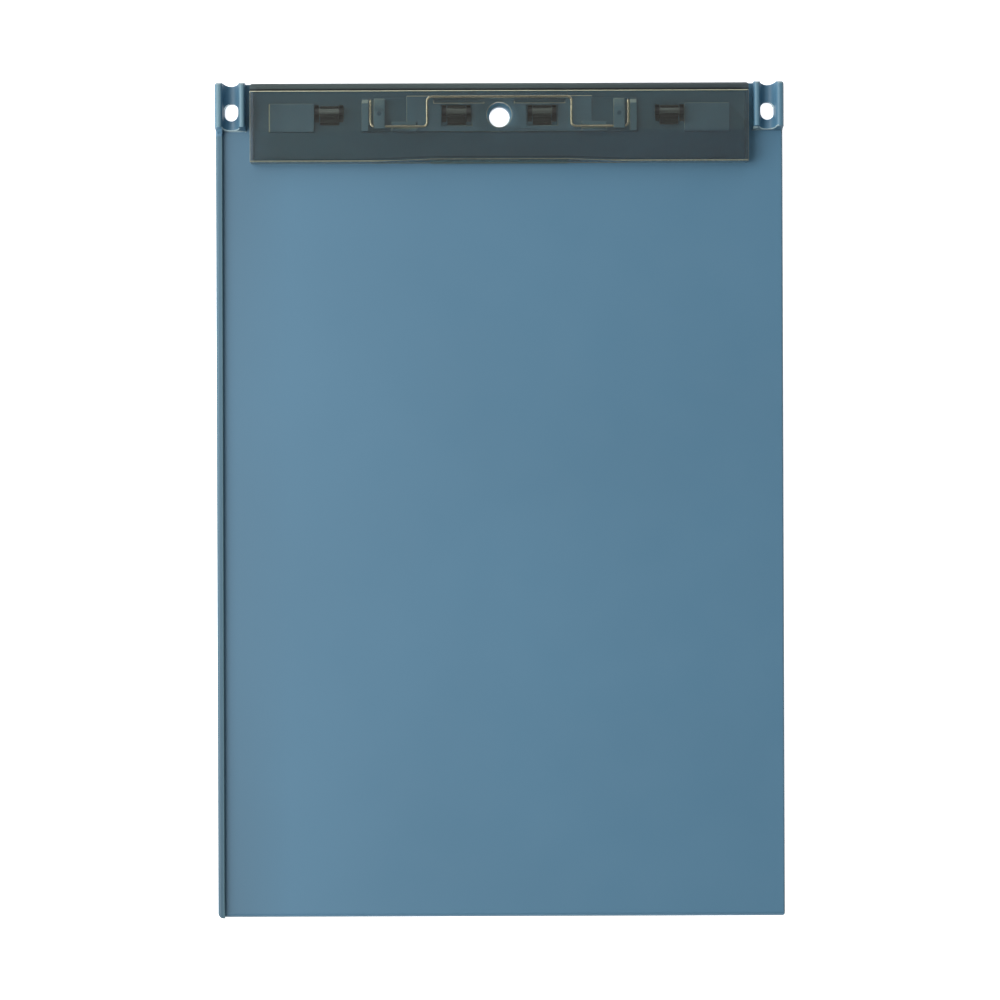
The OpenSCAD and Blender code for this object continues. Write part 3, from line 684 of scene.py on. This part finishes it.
def dress(node, material, edge_mm, edge_material=None, soft=EVERYWHERE, planar=True):
    """Gives a CAD node its material and rounds its outer edges, in their own material if given.

    soft is the group that picks the edges. planar first joins the triangles of flat faces.
    """
    piece = NODES[node]
    piece.data.materials.clear()
    piece.data.materials.append(material)
    piece.modifiers.new("plain", "NODES").node_group = PLAIN
    if planar:
        flat = piece.modifiers.new("flat", "DECIMATE")
        flat.decimate_type = "DISSOLVE"
        flat.angle_limit = FLAT
    piece.modifiers.new("soft", "NODES").node_group = soft
    bevel = piece.modifiers.new("bevel", "BEVEL")
    bevel.width = edge_mm * MM
    bevel.segments = BEVEL_SEGMENTS
    bevel.limit_method = "WEIGHT"
    bevel.use_clamp_overlap = False
    if edge_material:
        piece.data.materials.append(edge_material)
        bevel.material = 1
    shade = piece.modifiers.new("shade", "WEIGHTED_NORMAL")
    shade.weight = FACE_WEIGHT
    shade.keep_sharp = True


# ---- spring --------------------------------------------------------------------------------

WIRE_R = 0.5 * MM
WIRE_SIDES = 24
WIRE_STEP = 0.8 * MM
BEND_R = 1.7 * MM
BEND_STEPS = 10
DOME_ANGLES = [math.radians(d) for d in (67.5, 45, 22.5)]
DOME_LENGTH = 0.35 * WIRE_R
DOME_WIDTH = 0.25  # how much narrower than the wire the dome's tip is
TORSION_Y, TORSION_Z = from_end(16.4), above(1.8)
BOW_Y, BOW_Z = from_end(5.5), above(3.9)
LEG_END_Y, LEG_END_Z = from_end(6.2), above(1.2)
INNER_LEG_X, OUTER_LEG_X, MEET_X = 27.3 * MM, 48.8 * MM, 45.35 * MM
MEET_GAP = 0.12 * MM


def rounded(corners):
    """The line through the corners, with an arc at each inner one."""
    line = [Vector(corners[0])]
    for before, corner, after in zip(corners, corners[1:], corners[2:]):
        corner = Vector(corner)
        back, on = (Vector(before) - corner).normalized(), (Vector(after) - corner).normalized()
        half = back.angle(on) / 2
        centre = corner + (back + on).normalized() * (BEND_R / math.sin(half))
        start = corner + back * (BEND_R / math.tan(half)) - centre
        finish = corner + on * (BEND_R / math.tan(half)) - centre
        sweep = start.angle(finish)
        for k in range(BEND_STEPS + 1):
            share = k / BEND_STEPS
            a, b = math.sin(sweep * (1 - share)), math.sin(sweep * share)
            line.append(centre + (start * a + finish * b) / math.sin(sweep))
    return line + [Vector(corners[-1])]


def divided(line):
    """The line with further points on its long stretches, about a step apart."""
    points = [line[0]]
    for end in line[1:]:
        start = points[-1]
        count = max(1, round((end - start).length / WIRE_STEP))
        points += [start.lerp(end, k / count) for k in range(1, count + 1)]
    return points


def domed(point, way, side, inward):
    """The rings that round one end of the wire, from its tip to its full width."""
    rings = [(point + way * (inward * DOME_LENGTH * (1 - math.sin(a))), way, side,
              WIRE_R * (1 - DOME_WIDTH * (1 - math.cos(a)))) for a in DOME_ANGLES]
    return rings + [(point + way * (inward * DOME_LENGTH), way, side, WIRE_R)]


def wire_rings(points):
    """A ring at each point as its middle, way, sideways direction and radius."""
    ways = [(b - a).normalized() for a, b in zip(points, points[1:])]
    ways = [ways[0]] + [(a + b).normalized() for a, b in zip(ways, ways[1:])] + [ways[-1]]
    rings = []
    side = ways[0].orthogonal().normalized()
    for point, way in zip(points, ways):
        side = (side - way * side.dot(way)).normalized()
        rings.append((point, way, side, WIRE_R))
    return domed(*rings[0][:3], 1) + rings[1:-1] + domed(*rings[-1][:3], -1)[::-1]


def add_wire(name, corners):
    """A round wire along the rounded line, with domed ends, in place of the CAD spring."""
    bm = bmesh.new()
    loops = []
    for point, way, side, radius in wire_rings(divided(rounded(corners))):
        up = way.cross(side)
        turns = (math.tau * k / WIRE_SIDES for k in range(WIRE_SIDES))
        loops.append([bm.verts.new(point + (side * math.cos(t) + up * math.sin(t)) * radius)
                      for t in turns])
    for one, two in zip(loops, loops[1:]):
        for k in range(WIRE_SIDES):
            after = (k + 1) % WIRE_SIDES
            bm.faces.new((one[k], one[after], two[after], two[k]))
    bm.faces.new(reversed(loops[0]))
    bm.faces.new(loops[-1])
    mesh = bpy.data.meshes.new(name)
    bm.to_mesh(mesh)
    bm.free()
    mesh.shade_smooth()
    mesh.materials.append(WIRE)
    piece = bpy.data.objects.new(name, mesh)
    bpy.context.collection.objects.link(piece)
    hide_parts("torsion_spring")
    return piece


def add_spring():
    """The bow runs between board and clip, attached to neither; the outer legs stay in the board's
    seats.
    """
    bow = [(MEET_X - MEET_GAP, TORSION_Y, TORSION_Z), (INNER_LEG_X, TORSION_Y, TORSION_Z),
           (INNER_LEG_X, BOW_Y, BOW_Z)]
    bow += [(-x, y, z) for x, y, z in reversed(bow)]
    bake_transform(add_wire("spring_bow", bow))
    for side, name in ((-1, "spring_leg_left"), (1, "spring_leg_right")):
        leg = [(side * (MEET_X + MEET_GAP), TORSION_Y, TORSION_Z),
               (side * OUTER_LEG_X, TORSION_Y, TORSION_Z),
               (side * OUTER_LEG_X, LEG_END_Y, LEG_END_Z)]
        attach(add_wire(name, leg), "board")


# ---- scene ---------------------------------------------------------------------------------

BOARD_EDGE_MM, CLIP_EDGE_MM, STRIP_EDGE_MM = 0.35, 0.2, 0.1
BEARING_EDGE_MM, PIN_EDGE_MM = 0.1, 0.15
WIRE, BEARING, PIN = wire_material(), bearing_material(), pin_material()

add_camera()
add_room()
for softbox in SOFTBOXES:
    add_softbox(*softbox)
add_floor()
dress("writing_board", board_material(), BOARD_EDGE_MM, soft=BOARD_SOFT, planar=False)
dress("clip_plate", smoke_material(), CLIP_EDGE_MM, smoke_edge_material(), CLIP_SOFT)
dress("jaw_strip", strip_material(), STRIP_EDGE_MM)
add_spring()
for hinge in ("outer_left", "inner_left", "inner_right", "outer_right"):
    dress("bearing_" + hinge, BEARING, BEARING_EDGE_MM)
    dress("pin_" + hinge, PIN, PIN_EDGE_MM)
